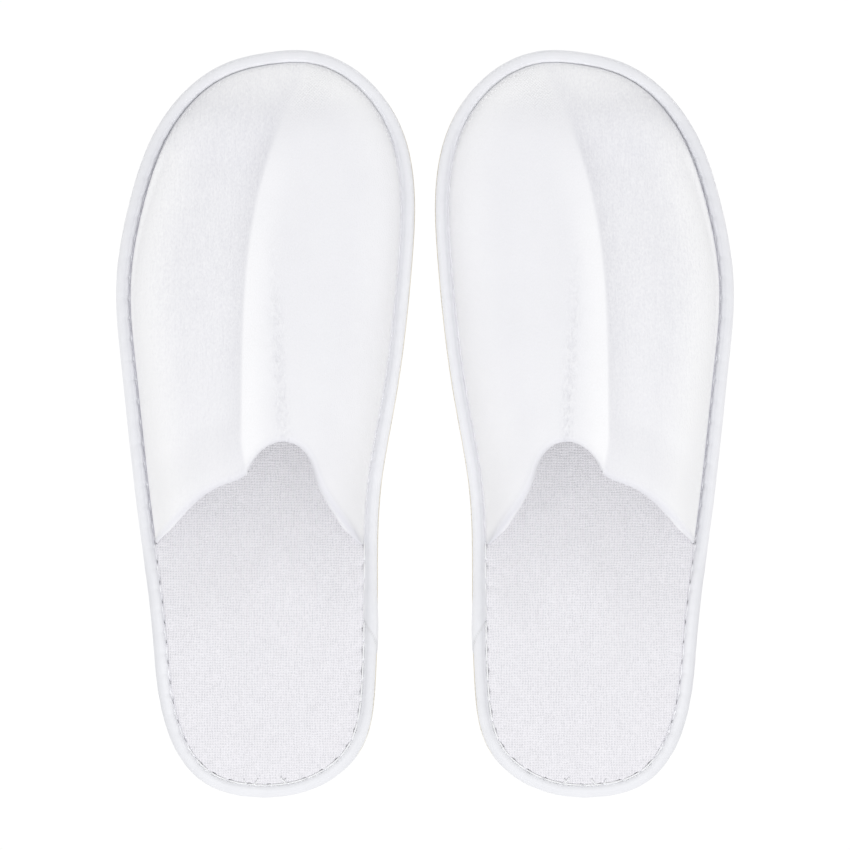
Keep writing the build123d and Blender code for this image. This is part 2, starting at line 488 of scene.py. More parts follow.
def spine():
    """The nearest point of the sole's middle line, for each point of the outline."""
    low = SOLE_LOW[1] + SPINE_INSET
    high = SOLE_HIGH[1] - SPINE_INSET
    y = np.clip(OUTLINE[:, 1], low, high)
    share = np.round((y - low) / (high - low) * SPINE_STOPS) / SPINE_STOPS
    heel_x = OUTLINE[OUTLINE[:, 1].argmin(), 0]
    toe_x = OUTLINE[OUTLINE[:, 1].argmax(), 0]
    return np.stack([heel_x + (toe_x - heel_x) * share, low + (high - low) * share], axis=1)


def disc_rings(inset, shares):
    """Rings that close from the outline drawn in by inset onto the sole's middle line."""
    rim = ring(inset)
    core = spine()
    return np.stack([rim + (core - rim) * share for share in shares], axis=1)


def plate(name, rim, top, bottom, rings=(4, 4)):
    """A closed plate: top and bottom give heights over (x, y), rim the profile between them."""
    top_flat = disc_rings(rim[0][0], np.linspace(1, 0, rings[0]) ** RIM_CROWDING)
    bottom_flat = disc_rings(rim[-1][0], np.linspace(0, 1, rings[1]) ** RIM_CROWDING)
    top_part = np.concatenate([top_flat, top(top_flat)[..., None]], axis=2)
    bottom_part = np.concatenate([bottom_flat, bottom(bottom_flat)[..., None]], axis=2)
    parts = [top_part, bottom_part]
    if len(rim) > 2:
        side = np.array(rim[1:-1])
        parts.insert(1, swept(np.broadcast_to(side, (LOOP,) + side.shape)))
    return grid_piece(name, np.concatenate(parts, axis=1), closed_columns=False)


# ---------------------------------------------------------------- sole pieces


def curve_through(points, count):
    """A smooth line through a few points (Catmull-Rom), evenly spaced."""
    points = np.array(points, float)
    padded = np.vstack([2 * points[0] - points[1], points, 2 * points[-1] - points[-2]])
    fine = []
    for a, b, c, d in zip(padded, padded[1:], padded[2:], padded[3:]):
        for t in np.linspace(0, 1, 24, endpoint=False):
            fine.append(
                b + 0.5 * t * (c - a + t * (2 * a - 5 * b + 4 * c - d + t * (3 * (b - c) + d - a)))
            )
    fine.append(points[-1])
    return evenly(np.array(fine), count, closed=False)


def stitch_dents(width, finer=1):
    """How near each outline point is to a needle hole: 1 at a hole, 0 between holes."""
    phase = np.arange(finer * LOOP) * STITCHES / (finer * LOOP) % 1
    return bump_at(np.minimum(phase, 1 - phase) * STITCH_PITCH, 0, width)


def tape_line():
    """The tape's section: under the bed, round its edge and down into the seam."""
    middle = (RIM_TOP + EDGE_TOP) / 2
    half = (EDGE_TOP - RIM_TOP) / 2
    bead = [(BEAD_W * (1 - math.cos(a)), middle + half * math.sin(a)) for a in BEAD_TURNS]
    under = [(BEAD_REACH, RIM_TOP), (3.9 * MM, RIM_TOP)]
    over = [
        (3.6 * MM, EDGE_TOP - 0.2 * MM),
        (4.3 * MM, EDGE_TOP - 0.7 * MM),
        (4.8 * MM, EDGE_TOP - 1.6 * MM),
        (BEAD_REACH, EDGE_TOP - 2.6 * MM),
    ]
    return curve_through(under + bead + over, 30)


def edge_binding():
    """The tape's bead: it is stuffed by the bed's edge and dives into the seam."""
    line = tape_line()
    along = np.gradient(line, axis=0)
    along /= np.linalg.norm(along, axis=1)[:, None]
    outward = np.stack([-along[:, 1], along[:, 0]], axis=1)
    points = np.broadcast_to(line, (LOOP,) + line.shape).copy()
    points += tape_relief(line)[..., None] * outward
    inner = (line - outward * TAPE_T)[::-2]
    profile = np.concatenate([points, np.broadcast_to(inner, (LOOP,) + inner.shape)], axis=1)
    piece = grid_piece("right_edge_binding_tape", swept(profile))
    # a painted shade line along the edge of the tape's overlapping end
    cut = bump_at(past_lap(np.arange(len(line)) / len(line)), 0.3 * MM, 0.6 * MM)
    # the tape's painted shade is kept for its look
    for name, values in (("lap_edge_shade", cut), ("painted_shade", tape_shade(line[:, 0]))):
        store(piece, name, np.hstack([values, np.zeros((LOOP, len(inner)))]).ravel())
    return piece


def tape_shade(into_seam):
    """How much painted shade greys the tape at each outline point and distance in from the outline.

    Beside the upper the painted shade deepens towards the seam, and the outer turn stays pale as
    painted light. Beside the bare foot bed painted shade greys the outer face a little and the
    inner side stays pale.
    """
    y = OUTLINE[:, 1]
    toe = toe_zone(y, 40 * MM, 5 * MM)[:, None]
    beside_upper = np.interp(into_seam, (0, DEEPEST_SHADE_AT, BEAD_REACH), (0, 0.8, 0.2))
    beside_upper = beside_upper * (1 - 0.35 * toe)
    beside_bed = np.interp(into_seam, (0, 2 * MM, BEAD_REACH), (0.45, 0.45, 0.05))
    heel = smoothstep(SOLE_LOW[1] + 35 * MM, SOLE_LOW[1] + 10 * MM, y)
    flank = outer_flank() * smoothstep(WING_Y + 5 * MM, WING_Y - 15 * MM, y)
    behind = np.maximum(heel, flank)[:, None]
    return beside_upper + (beside_bed - beside_upper) * behind


def tape_relief(line):
    """How far the tape stands out at each outline point and profile point."""
    stop = np.arange(len(line))
    over = smoothstep(0.55 * len(line), 0.9 * len(line), stop)
    depth = DENT_DEPTH + DENT_DEPTH * outer_flank()[:, None]
    dents = -depth * stitch_dents(STITCH_W)[:, None] * over
    travel = np.stack([OUTLINE[:, 0], OUTLINE[:, 1], np.zeros(LOOP)], axis=1)[:, None, :]
    spot = travel + np.stack([0 * stop, 0 * stop, stop * 0.35 * MM], axis=1)
    heel = smoothstep(-20 * MM, -90 * MM, OUTLINE[:, 1])[:, None]
    wrinkles = (0.04 + 0.08 * heel) * MM * ripples(spot, 4.5 * MM, 2.0)
    waves = 0.07 * MM * ripples(spot, 16 * MM, 5.0)
    return dents + wrinkles + waves + tape_lap(stop / len(line))


def past_lap(share):
    """How far along the outline each point lies beyond the slanted cut of the tape's end."""
    spot = [SOLE_LOW[0], SOLE_LOW[1] + LAP_SHARE * (SOLE_HIGH[1] - SOLE_LOW[1])]
    start = np.argmin(np.linalg.norm(OUTLINE - spot, axis=1))
    return (np.arange(LOOP)[:, None] - start) * ARC + LAP_SLANT * (share - 0.85)


def tape_lap(share):
    """The tape's end lies over its start near the heel."""
    past = past_lap(share)
    return LAP_T * smoothstep(0.5 * MM, -0.5 * MM, past) * smoothstep(-26 * MM, -8 * MM, past)


def flat_at(height):
    """A level face, for plate."""
    return lambda flat: np.full(flat.shape[:-1], height)


def moved_to_outsole(piece):
    for vertex in piece.data.vertices:
        vertex.co.x -= OUTSOLE_SHIFT
    return piece


def outsole():
    """Foam rubber: a raised middle, a flat rim and a groove under it for the thread."""
    rim = [
        (BEAD_REACH + 0.4 * MM, BED_BOTTOM),
        (BEAD_REACH + 0.4 * MM, RIM_TOP),
        (0.8 * MM, RIM_TOP),
        (0.5 * MM, RIM_TOP - 0.3 * MM),
        (0.5 * MM, 0.7 * MM),
        (0.7 * MM, 0.2 * MM),
        (1.2 * MM, 0),
    ]

    def underside(flat):
        off_groove = np.linalg.norm(flat - flat[:, :1], axis=2) - (UNDER_INSET - rim[-1][0])
        return 0.5 * MM * bump_at(off_groove, 0, 0.6 * MM)

    foam = plate("right_outsole_foam", rim, flat_at(BED_BOTTOM), underside, (4, 64))
    return moved_to_outsole(foam)


def backing():
    rim = [(2.4 * MM, PADDING_BOTTOM), (2.2 * MM, BED_BOTTOM)]
    return plate("right_insole_backing_cloth", rim, flat_at(PADDING_BOTTOM), flat_at(BED_BOTTOM))


def seam_pinch(inset):
    """How far the stitches press the bed down, that far in from the outline."""
    return PINCH_H * bump_at(inset, STITCH_INSET, 0.9 * MM)


def padding():
    """The thin foam, which fills the tape's bead and is pressed flat by the stitches."""
    rim_top = COVER_BOTTOM - 0.02 * MM
    rim = [(2.2 * MM, rim_top), (1.4 * MM, COVER_BOTTOM - 1.2 * MM), (2.0 * MM, PADDING_BOTTOM)]

    def top(flat):
        inset = rim[0][0] + np.linalg.norm(flat - flat[:, -1:], axis=2)
        return rim_top - seam_pinch(inset)

    return plate("right_insole_padding_sponge", rim, top, flat_at(PADDING_BOTTOM), (48, 4))


def cover_top(flat):
    """The terry's height over (x, y): crowned, uneven and pulled down at the rim by each stitch."""
    edge = np.linalg.norm(flat - flat[:, -1:], axis=2)
    crown = CROWN_H * smoothstep(0, CROWN_W, edge)
    spots = np.concatenate([flat, np.zeros(flat.shape[:-1] + (1,))], axis=2)
    uneven = 0.16 * MM * ripples(spots, 15 * MM, 1.0) + 0.07 * MM * ripples(spots, 4 * MM, 4.0)
    dent = 0.35 * MM * stitch_dents(STITCH_W)[:, None] * bump_at(edge, 0, 1.6 * MM)
    return BED_TOP - 0.05 * MM + crown + uneven * smoothstep(0, 6 * MM, edge) - dent


def cover_side():
    """The terry's rim: its shoulder dives into the seam, and the rest is hidden under the tape.

    It stands back at each stitch on the bare bed, and lies lower under the upper.
    """
    shoulder = [(6.5, -0.1), (6.1, -0.3), (5.8, -0.7), (5.6, -1.3), (5.4, -1.9), (5.1, -2.3)]
    hidden = [(4.5, -2.2), (3.9, -1.5), (3.2, -1.0), (2.2, -0.9), (1.5, -1.6)]
    rim = np.array(shoulder + hidden) * MM + [0, BED_TOP]
    side = np.broadcast_to(rim, (LOOP,) + rim.shape).copy()
    front = smoothstep(WING_Y + 1 * MM, WING_Y + 8 * MM, OUTLINE[:, 1])
    flank = outer_flank()
    pulled = 0.5 * stitch_dents(STITCH_W) * (1 - flank)
    shift = (pulled - 0.8 + 0.45 * flank) * (1 - front) * MM + 0.3 * MM * front
    side[:, : len(shoulder) - 1, 0] += shift[:, None]
    above = side[..., 1] - (COVER_BOTTOM - seam_pinch(side[..., 0]))
    covered = np.arange(len(rim)) >= len(shoulder)
    side[..., 1] -= 0.85 * np.clip(above, 0, None) * covered * front[:, None]
    return side


def insole_cover():
    """Terry cloth, crowned over the padding and pulled down at the seam by each stitch."""
    flat = disc_rings(7.2 * MM, np.linspace(1, 0, 44))
    top_part = np.concatenate([flat, cover_top(flat)[..., None]], axis=2)
    low_inset = 1.7 * MM
    low = disc_rings(low_inset, np.linspace(0, 1, 26) ** RIM_CROWDING)
    inset = low_inset + np.linalg.norm(low - low[:, :1], axis=2)
    low_part = np.concatenate([low, (COVER_BOTTOM - seam_pinch(inset))[..., None]], axis=2)
    grid = np.concatenate([top_part, swept(cover_side()), low_part], axis=1)
    return grid_piece("right_insole_cover_terry", grid, closed_columns=False)


# ---------------------------------------------------------------- upper pieces


def foot_of_upper(out, drop):
    """A line along the upper's foot, moved out from it and dropped below the bed's top.

    The seam is pulled deepest along the outer side.
    """
    foot = SKIN[:, 0, :2]
    along = np.gradient(foot, axis=0)
    along /= np.linalg.norm(along, axis=1)[:, None]
    away = np.stack([along[:, 1], -along[:, 0]], axis=1)
    outer = smoothstep(-20 * MM, 10 * MM, foot[:, 0] - TIP_X)
    outer *= 1 - 0.7 * toe_zone(foot[:, 1], 45 * MM, 12 * MM)
    flat = foot + away * (out * (1 + 0.3 * outer))[:, None]
    return np.column_stack([flat, BED_TOP - drop * (0.63 + 0.57 * outer)])[:, None, :]


def upper_pile():
    """The pile cloth: its skin, the roll at the throat, the turned-in hem and the margin."""
    thin = ROLL_R / (UPPER_T / 2)
    total = RIB_TRAVEL[:, -1]
    start = np.full(RIBS, 0.4 * MM)
    hem = np.minimum(HEM_L, 0.6 * total)
    grid = [
        foot_of_upper(1.5 * MM, 1.7 * MM),
        foot_of_upper(1.5 * MM, 1.4 * MM),
        foot_of_upper(0.5 * MM, 2.0 * MM),
        foot_of_upper(0.2 * MM, 1.2 * MM),
        SKIN,
        rolled_edge(np.linspace(0, 1, 14)[1:-1]),
        inside_ribs(0 * total, hem, 12, 2 * ROLL_R),
        inside_ribs(hem, start, 12, 2 * ROLL_R - LINING_T * thin),
        inside_ribs(start, total, 40, CLOTH_T * thin),
        foot_of_upper(-0.2 * MM, 1.2 * MM),
        foot_of_upper(0.5 * MM, 2.3 * MM),
    ]
    return grid_piece("right_upper_pile_cloth", np.concatenate(grid, axis=1), capped=True)


def upper_layer(name, start, outer_depth, inner_depth):
    """A layer of the upper between two depths, from start behind the throat to the seam."""
    thin = ROLL_R / (UPPER_T / 2)
    total = RIB_TRAVEL[:, -1]
    first = np.minimum(start, 0.6 * total)
    outer = inside_ribs(first, total, 60, outer_depth * thin)
    inner = inside_ribs(total, first, 60, inner_depth * thin)
    return grid_piece(name, np.concatenate([outer, inner], axis=1), capped=True)


def upper_sponge():
    return upper_layer("right_upper_sponge_layer", 0.6 * MM, CLOTH_T, CLOTH_T + SPONGE_T)


def upper_lining():
    return upper_layer("right_upper_lining_cloth", HEM_L, CLOTH_T + SPONGE_T, UPPER_T)


# ---------------------------------------------------------------- thread


def tube(line, radius, closed):
    """Points and faces of a two-strand twisted thread along a line."""
    ahead = np.roll(line, -1, axis=0) - np.roll(line, 1, axis=0)
    if not closed:
        ahead = np.gradient(line, axis=0)
    ahead /= np.linalg.norm(ahead, axis=1)[:, None]
    sideways = np.cross(ahead, [0, 0, 1.0])
    sideways /= np.linalg.norm(sideways, axis=1)[:, None]
    upward = np.cross(sideways, ahead)
    steps = np.linalg.norm(np.diff(line, axis=0, prepend=line[:1]), axis=1)
    twist = 2 * math.pi * np.cumsum(steps) / TWIST_L
    rings = []
    for turn in np.linspace(0, 2 * math.pi, THREAD_SIDES, endpoint=False):
        reach = radius * (0.72 + 0.28 * np.abs(np.cos(turn - twist)))[:, None]
        rings.append(line + reach * (math.cos(turn) * sideways + math.sin(turn) * upward))
    faces = grid_faces(len(line), THREAD_SIDES, closed, True)
    if not closed:
        faces.append(tuple(range(THREAD_SIDES)))
        faces.append(tuple(range((len(line) - 1) * THREAD_SIDES, len(line) * THREAD_SIDES)))
    return np.stack(rings, axis=1).reshape(-1, 3), faces


def seam_thread(name, inset, height, dip, tails=()):
    """A lockstitch thread: it lies along the seam and dips into each needle hole."""
    dips = dip * stitch_dents(0.7 * MM, 2)
    flat = evenly(ring(inset), 2 * LOOP, closed=True)
    points, faces = tube(np.column_stack([flat, height + dips]), THREAD_R, True)
    for tail in tails:
        more_points, more_faces = tube(tail, THREAD_R * 0.8, False)
        faces += [tuple(len(points) + v for v in face) for face in more_faces]
        points = np.vstack([points, more_points])
    return mesh_object(name, points, faces)


def thread_tails():
    """The cut ends of the needle thread, which curl out of the seam at the heel."""
    heel = ring(STITCH_INSET)
    lowest = heel[heel[:, 1].argmin()]
    tails = []
    for off, length, lean, curl in TAILS:
        start = heel[np.abs(heel[:, 0] - lowest[0] - off).argsort()][:8]
        start = np.append(start[start[:, 1].argmin()], BED_TOP - 1.2 * MM)
        share = np.linspace(0, 1, 24)[:, None]
        turn = lean + curl * share
        ahead = np.hstack([np.cos(turn), np.sin(turn), 0 * turn])
        rise = TAIL_RISE * np.sin(math.pi / 2 * np.minimum(share * 1.4, 1))
        tails.append(start + ahead * length * share + np.hstack([0 * rise, 0 * rise, rise]))
    return tails


def needle_thread():
    """It shows round the heel and sinks into the seam beside the upper."""
    y = evenly(OUTLINE, 2 * LOOP, closed=True)[:, 1]
    sink = smoothstep(WING_Y - 3 * MM, WING_Y + 3 * MM, y)
    flank = outer_flank(2)
    height = BED_TOP - 0.2 * MM - np.maximum(2.15 * MM * sink, 1.5 * MM * flank)
    dip = -1.3 * MM * (1 - sink)
    return seam_thread("right_needle_thread_line", STITCH_INSET, height, dip, thread_tails())


def under_thread():
    """It lies in the outsole's groove."""
    thread = seam_thread("right_under_thread_line", UNDER_INSET, 0.42 * MM, 0.4 * MM)
    return moved_to_outsole(thread)


# ---------------------------------------------------------------- looks


def add(tree, kind, inputs, **settings):
    """A new node. Each input is a number, a colour or another node's output."""
    made = tree.nodes.new(kind)
    for name, value in settings.items():
        setattr(made, name, value)
    for name, value in inputs.items():
        if isinstance(value, bpy.types.NodeSocket):
            tree.links.new(value, made.inputs[name])
        else:
            made.inputs[name].default_value = value
    return made


def calc(tree, operation, first, second=0.0):
    return add(tree, "ShaderNodeMath", {0: first, 1: second}, operation=operation).outputs[0]


def scaled(tree, value, factor):
    return calc(tree, "MULTIPLY", value, factor)


def swing(tree, value, factor):
    """A value from 0 to 1 turned into one that swings round 0, as wide as factor."""
    return scaled(tree, calc(tree, "SUBTRACT", value, 0.5), factor)


def summed(tree, first, *others):
    for other in others:
        first = calc(tree, "ADD", first, other)
    return first


def stored(tree, name):
    """The number that store kept for each point."""
    return add(tree, "ShaderNodeAttribute", {}, attribute_name=name).outputs["Fac"]


def stretched(tree, size, turn=0.0):
    """Object coordinates counted in cells of size (x, y, z), in millimetres, turned about z."""
    place = add(tree, "ShaderNodeTexCoord", {}).outputs["Object"]
    inputs = {"Vector": place, "Scale": [1 / (s * MM) for s in size], "Rotation": (0, 0, turn)}
    return add(tree, "ShaderNodeMapping", inputs).outputs[0]


def grain(tree, size, detail=2.0, roughness=0.5):
    """Noise from 0 to 1 with features of that size, in millimetres."""
    inputs = {"Vector": stretched(tree, size), "Scale": 1.0, "Detail": detail}
    inputs["Roughness"] = roughness
    return add(tree, "ShaderNodeTexNoise", inputs).outputs["Fac"]


def pebbles(tree, size, randomness, turn=0.0):
    """Distance from the middle of the nearest of many cells of that size, in millimetres."""
    inputs = {"Vector": stretched(tree, size, turn), "Scale": 1.0, "Randomness": randomness}
    return add(tree, "ShaderNodeTexVoronoi", inputs).outputs["Distance"]


def between(tree, value, low, high):
    """low where value is 0, high where it is 1; they may be numbers or outputs."""
    inputs = {"Value": value, "To Min": low, "To Max": high}
    return add(tree, "ShaderNodeMapRange", inputs).outputs["Result"]


def sharpened(tree, value, low, high):
    """0 where value is low, 1 where it is high."""
    inputs = {"Value": value, "From Min": low, "From Max": high}
    return add(tree, "ShaderNodeMapRange", inputs, interpolation_type="SMOOTHSTEP").outputs[0]


def blend(tree, share, low, high):
    """Colour between two, by share."""
    made = tree.nodes.new("ShaderNodeMix")
    made.data_type = "RGBA"
    for socket, value in (("Factor_Float", share), ("A_Color", low), ("B_Color", high)):
        target = next(s for s in made.inputs if s.identifier == socket)
        if isinstance(value, bpy.types.NodeSocket):
            tree.links.new(value, target)
        else:
            target.default_value = value
    return next(s for s in made.outputs if s.identifier == "Result_Color")


def finish_look(material, colour, roughness, height, depth, **shader):
    """Colour, roughness and bump from nodes, and the rest as numbers on the shader."""
    tree = material.node_tree
    surface = tree.nodes["Principled BSDF"]
    bump = add(tree, "ShaderNodeBump", {"Height": height, "Distance": depth, "Strength": 1.0})
    tree.links.new(colour, surface.inputs["Base Color"])
    tree.links.new(roughness, surface.inputs["Roughness"])
    tree.links.new(bump.outputs[0], surface.inputs["Normal"])
    for name, value in shader.items():
        surface.inputs[name.replace("_", " ")].default_value = value
    return material


def new_look(name):
    material = bpy.data.materials.new(name)
    material.use_nodes = True
    return material, material.node_tree


def white(level, warmth=0.0):
    """A nearly neutral white: warmth moves it towards cream, and below 0 towards blue."""
    return (level * (1 + 0.4 * warmth), level, level * (1 - warmth), 1)


def velour():
    """Brushed pile: coarse and streaky on the outer side of the crease, looped at the toe.

    mark_upper says where, how much painted light and shade lies on it for the way its nap and shape
    catch the light, where it is puckered, and where painted shade darkens its seam.
    """
    material, tree = new_look("upper_pile_velour")
    coarse = stored(tree, "coarse")
    dashes = grain(tree, (0.6, 1.3, 1.2), 2.0, 0.6)
    wales = grain(tree, (0.7, 8, 3), 1.0)
    streaks = between(tree, 0.3, dashes, wales)
    loops = sharpened(tree, pebbles(tree, (0.85, 0.85, 90), 0.4, LOOP_TURN), 0.1, 0.62)
    rough_pile = between(tree, stored(tree, "looped"), streaks, loops)
    fuzz = grain(tree, (0.45, 0.7, 0.45), 2.0)
    pile = between(tree, coarse, scaled(tree, fuzz, 0.4), rough_pile)
    # The puckers move the colour with their height: painted shade in their hollows and painted
    # light on their tops.
    puckers = swing(tree, grain(tree, (1.0, 2.4, 3), 2.0), stored(tree, "pucker"))
    height = summed(tree, pile, scaled(tree, puckers, 2.2))
    # The pile's pattern moves the colour with its height too: partly its own tone, partly painted
    # shade in its hollows.
    speckle_and_shade = swing(tree, pile, between(tree, coarse, 0.12, 1.15))
    mottle = swing(tree, grain(tree, (12, 26, 12), 3.0), 0.12)
    tone = summed(tree, stored(tree, "painted_light_and_shade"), speckle_and_shade, puckers, mottle)
    # the pile's colour runs from grey to bright with the painted light and shade
    before_seam_shade = blend(tree, tone, PILE_GREY, PILE_BRIGHT)
    # painted shade darkens the pile in the seam
    colour = blend(tree, stored(tree, "painted_seam_shade"), before_seam_shade, PILE_SEAM_SHADE)
    return finish_look(
        material, colour, between(tree, fuzz, 0.82, 0.98), height, 0.3 * MM,
        Sheen_Weight=0.3, Sheen_Roughness=0.35, Specular_IOR_Level=0.15,
    )


def terry():
    """Flat knitted terry: a square grid of loops with small holes between them, darkened by painted
    shade.
    """
    material, tree = new_look("insole_cover_terry")
    wander = add(tree, "ShaderNodeTexNoise", {"Vector": stretched(tree, (4, 4, 4)), "Scale": 1.0})
    moved = {0: wander.outputs["Color"], "Scale": 1.3 * MM}
    moved = add(tree, "ShaderNodeVectorMath", moved, operation="SCALE").outputs[0]
    place = add(tree, "ShaderNodeTexCoord", {}).outputs["Object"]
    spot = add(tree, "ShaderNodeVectorMath", {0: place, 1: moved}).outputs[0]
    parts = add(tree, "ShaderNodeSeparateXYZ", {0: spot}).outputs
    turn = 2 * math.pi / KNIT_PITCH
    across, along = (calc(tree, "SINE", scaled(tree, parts[axis], turn)) for axis in (0, 1))
    knit = summed(tree, scaled(tree, across, 0.3), scaled(tree, along, 0.2))
    uneven = grain(tree, (0.7, 1.6, 0.8), 2.0, 0.6)
    height = summed(tree, knit, uneven)
    # painted shade in the holes between the loops
    hole = sharpened(tree, height, 0.0, 0.45)
    yarn = blend(tree, grain(tree, (9, 13, 9), 2.0), TERRY_GREY, TERRY_BRIGHT)
    colour = blend(tree, hole, TERRY_HOLE_SHADE, yarn)
    return finish_look(
        material, colour, between(tree, uneven, 0.85, 1.0), height, 0.2 * MM,
        Sheen_Weight=0.15, Sheen_Roughness=0.5, Specular_IOR_Level=0.15,
    )


def tape():
    """Fine plain-weave satin tape, a little glossier than the pile, greyed by painted shade, with a
    painted shade line at its cut end.
    """
    material, tree = new_look("edge_tape_satin")
    weave = pebbles(tree, (0.45, 0.45, 0.45), 0.25)
    patches = grain(tree, (6, 6, 6), 3.0)
    tone = summed(tree, scaled(tree, weave, 0.4), scaled(tree, patches, 0.6))
    # painted shade across the tape, plus patches that differ at random
    shade = summed(tree, scaled(tree, stored(tree, "painted_shade"), 0.75), between(tree, tone, 0.25, 0.0))
    plain = blend(tree, shade, TAPE_PALE, TAPE_GREY)
    # the painted shade line at the cut end
    colour = blend(tree, stored(tree, "lap_edge_shade"), plain, white(0.66, -0.02))
    return finish_look(
        material, colour, between(tree, patches, 0.55, 0.75), weave, 0.05 * MM,
        Sheen_Weight=0.1, Specular_IOR_Level=0.2,
    )


def foam_rubber():
    """Cream foamed rubber with closed cells and a fine pebbled tread."""
    material, tree = new_look("outsole_foam_rubber")
    cells = grain(tree, (0.35, 0.35, 0.35), 2.0)
    tread = sharpened(tree, pebbles(tree, (2.2, 2.2, 30), 0.0), 0.45, 0.2)
    scuffs = grain(tree, (7, 16, 7), 4.0, 0.6)
    colour = blend(tree, scuffs, white(0.72, 0.16), white(0.82, 0.12))
    height = summed(tree, tread, scaled(tree, cells, 0.3))
    return finish_look(material, colour, between(tree, scuffs, 0.55, 0.8), height, 0.3 * MM)


def backing_felt():
    """Non-woven felt, of short fibres lying every way."""
    material, tree = new_look("backing_felt")
    fibres = grain(tree, (0.3, 1.8, 0.3), 4.0, 0.7)
    colour = blend(tree, fibres, white(0.78), white(0.88))
    return finish_look(material, colour, between(tree, fibres, 0.85, 1.0), fibres, 0.1 * MM)


def sponge():
    """Open-cell foam: small pores, slightly yellow."""
    material, tree = new_look("open_cell_sponge")
    pores = pebbles(tree, (0.6, 0.6, 0.6), 1.0)
    colour = blend(tree, pores, white(0.88, 0.05), white(0.72, 0.09))
    return finish_look(material, colour, between(tree, pores, 0.9, 0.8), pores, 0.2 * MM)


def brushed_lining():
    """Thin brushed knit inside the upper, with faint wales."""
    material, tree = new_look("brushed_lining")
    fluff = grain(tree, (0.5, 0.9, 0.5), 3.0, 0.6)
    wales = grain(tree, (0.7, 12, 0.7), 1.0)
    colour = blend(tree, fluff, white(0.80, -0.01), white(0.89, -0.01))
    return finish_look(
        material, colour, between(tree, fluff, 0.85, 1.0), summed(tree, fluff, wales), 0.12 * MM,
        Sheen_Weight=0.2, Sheen_Roughness=0.5,
    )


def polyester_thread():
    """Twisted white thread with a faint gloss."""
    material, tree = new_look("polyester_thread")
    strands = grain(tree, (0.12, 0.12, 0.12), 1.0)
    colour = blend(tree, strands, white(0.82, -0.01), white(0.92, -0.01))
    return finish_look(material, colour, between(tree, strands, 0.4, 0.6), strands, 0.03 * MM)


# ---------------------------------------------------------------- putting it together


def gap_to_throat(points):
    """Distance of each point from the throat's edge, seen from above."""
    edge = KDTree(RIBS)
    for k, spot in enumerate(THROAT):
        edge.insert((spot[0], spot[1], 0), k)
    edge.balance()
    return np.array([edge.find((p[0], p[1], 0))[2] for p in points])


def pile_painted_light_and_shade(points, off_crease, outer):
    """Painted light and shade on the pile at each point, standing for how its nap and shape catch
    the light: about 0 for grey, 1 for bright.
    """
    x, y = points[:, 0], points[:, 1]
    forward = smoothstep(*FRONT_ZONE, y)
    at_toe = toe_zone(y, 42 * MM, 10 * MM)
    to_outer_seam = np.interp(y, OUTER_SEAM[:, 1], OUTER_SEAM[:, 0]) - x
    by_outer_seam = smoothstep(22 * MM, 2 * MM, to_outer_seam)
    # painted light and shade: greyer further forward, brighter beside the outer seam
    outer_light_and_shade = 0.82 - 0.3 * forward + 0.55 * by_outer_seam * (1 - at_toe)
    # painted shade: a grey band beside the crease and another across the front of the upper
    outer_light_and_shade -= 0.12 * bump_at(off_crease, 2 * MM, 6 * MM) + 0.14 * bump_at(y, 104 * MM, 12 * MM)
    to_inner_seam = x - np.interp(y, INNER_SEAM[:, 1], INNER_SEAM[:, 0])
    # painted highlight on the strip inside the crease, painted shade on the puckered middle line
    strip_highlight = smoothstep(-14 * MM, -2 * MM, off_crease) * smoothstep(*STRIP_HIGHLIGHT_ZONE, y)
    inner_light_and_shade = 0.72 - 0.15 * forward + 0.12 * at_toe + 0.3 * strip_highlight - 0.1 * line_pucker(x, y)
    # painted light beside the inner seam
    inner_light_and_shade += 0.25 * smoothstep(20 * MM, 2 * MM, to_inner_seam)
    # the outer and inner sides blended, with painted light on the toe's tip
    painted_light_and_shade = inner_light_and_shade + (outer_light_and_shade - inner_light_and_shade) * outer + 0.45 * toe_zone(y, 22 * MM, 0)
    # painted shade where the crease meets the throat
    kink = THROAT[np.abs(THROAT[:, 0] - crease_x(THROAT[:, 1])).argmin()]
    painted_light_and_shade -= 0.3 * bump_at(np.hypot(x - kink[0] + 2.5 * MM, y - kink[1] - 2 * MM), 0, 2.5 * MM)
    # painted shade along the throat's edge, deepest at the wings
    wing = smoothstep(-15 * MM, WING_Y, y)
    return painted_light_and_shade - (0.4 + 0.6 * wing) * bump_at(gap_to_throat(points), 0, 1.7 * MM)


def line_pucker(x, y):
    """How puckered the cloth is: 1 on the soft middle line at the throat, 0 away from it."""
    return bump_at(x, line_x(y), 2.6 * MM) * smoothstep(*PUCKER_ZONE, y)


def mark_upper(piece):
    """Stores on each point of the pile what velour reads.

    Those are the painted light and shade on the pile, how coarse, looped and puckered it is, and
    the painted shade in its seam.
    """
    points = np.array([v.co for v in piece.data.vertices])
    x, y, z = points.T
    off_crease = x - crease_x(y)
    blur = 1.3 * MM + 4 * MM * smoothstep(*BLURRED_ZONE, y)
    outer = smoothstep(-0.4 * blur, blur, off_crease)
    forward = smoothstep(*FRONT_ZONE, y)
    looped = toe_zone(y, 42 * MM, 10 * MM) * (1 - outer)
    looped *= smoothstep(-50 * MM, -6 * MM, off_crease)
    # painted shade in the seam at the pile's foot: along the outer side, little at the toe, only
    # below the bed's top
    seam_shade = smoothstep(-10 * MM, 20 * MM, x - TIP_X)
    seam_shade *= 1 - 0.85 * toe_zone(y, 48 * MM, 14 * MM)
    seam_shade *= smoothstep(BED_TOP + 0.7 * MM, BED_TOP - 0.8 * MM, z)
    store(piece, "coarse", np.maximum(outer * (0.35 + 0.65 * forward), 0.4 * looped))
    store(piece, "looped", looped)
    store(piece, "painted_light_and_shade", pile_painted_light_and_shade(points, off_crease, outer))
    store(piece, "pucker", line_pucker(x, y))
    store(piece, "painted_seam_shade", seam_shade)


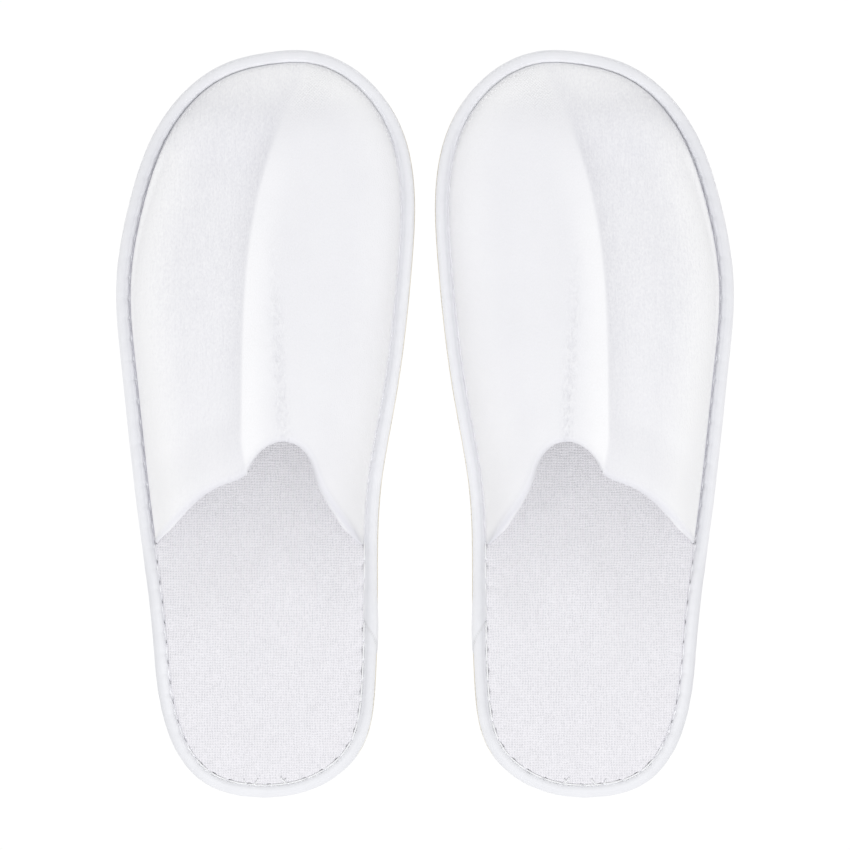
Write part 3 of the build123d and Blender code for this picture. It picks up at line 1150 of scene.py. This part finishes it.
def mirrored(piece, name):
    """The left slipper's piece."""
    mesh = piece.data.copy()
    for vertex in mesh.vertices:
        vertex.co.x = -vertex.co.x
    mesh.flip_normals()
    twin = bpy.data.objects.new(name, mesh)
    bpy.context.collection.objects.link(twin)
    return twin


def build_piece(make, node, look):
    """One piece of the right slipper and its mirror image, in place of their CAD nodes."""
    right = make()
    if node == "upper_pile":
        mark_upper(right)
    left = mirrored(right, right.name.replace("right_", "left_"))
    for side, piece in (("right", right), ("left", left)):
        piece.data.materials.append(look)
        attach(piece, side + "_slipper")
        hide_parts(side + "_" + node)


def build_all():
    thread = polyester_thread()
    foam = sponge()
    build_piece(outsole, "outsole", foam_rubber())
    build_piece(backing, "insole_backing", backing_felt())
    build_piece(padding, "insole_padding", foam)
    build_piece(insole_cover, "insole_cover", terry())
    build_piece(edge_binding, "edge_binding", tape())
    build_piece(needle_thread, "needle_thread", thread)
    build_piece(under_thread, "under_thread", thread)
    build_piece(upper_pile, "upper_pile", velour())
    build_piece(upper_sponge, "upper_sponge", foam)
    build_piece(upper_lining, "upper_lining", brushed_lining())


# ---------------------------------------------------------------- floor, lights and camera


def make_floor():
    """A plain white sheet that glows like a light table, so that nothing casts a shadow on it."""
    bpy.ops.mesh.primitive_plane_add(size=FLOOR_W, location=(0, 0, -0.2 * MM))
    floor = bpy.context.object
    floor.name = "floor"
    material, tree = new_look("floor_white")
    shader = tree.nodes["Principled BSDF"]
    shader.inputs["Base Color"].default_value = (0, 0, 0, 1)
    shader.inputs["Specular IOR Level"].default_value = 0
    shader.inputs["Emission Color"].default_value = (1, 1, 1, 1)
    shader.inputs["Emission Strength"].default_value = FLOOR_GLOW
    floor.data.materials.append(material)


def make_lights():
    world = bpy.data.worlds.new("studio")
    world.use_nodes = True
    background = world.node_tree.nodes["Background"]
    background.inputs["Color"].default_value = WORLD_COLOUR
    background.inputs["Strength"].default_value = WORLD_LIGHT
    bpy.context.scene.world = world
    softbox("key_light", KEY_PLACE, KEY_W, KEY_POWER)
    softbox("fill_light", FILL_PLACE, FILL_W, FILL_POWER)


def softbox(name, place, size, power):
    """A square area light that faces the slippers."""
    lamp = bpy.data.lights.new(name, "AREA")
    lamp.size = size
    lamp.energy = power
    holder = bpy.data.objects.new(name, lamp)
    holder.location = place
    holder.rotation_euler = (-math.atan2(place[1], place[2]), 0, 0)
    bpy.context.collection.objects.link(holder)


def make_camera():
    """Straight above the pair, far off, so that the view is nearly parallel."""
    camera = bpy.data.cameras.new("camera")
    camera.lens = FOCAL_L
    holder = bpy.data.objects.new("camera", camera)
    field = FRAMING * (SOLE_HIGH[1] - SOLE_LOW[1])
    distance = field * camera.lens / camera.sensor_width
    holder.location = (0, CAMERA_Y, (RIM_TOP + EDGE_TOP) / 2 + distance)
    bpy.context.collection.objects.link(holder)
    bpy.context.scene.camera = holder


build_all()
make_floor()
make_lights()
make_camera()
bpy.context.scene.view_settings.view_transform = "Standard"
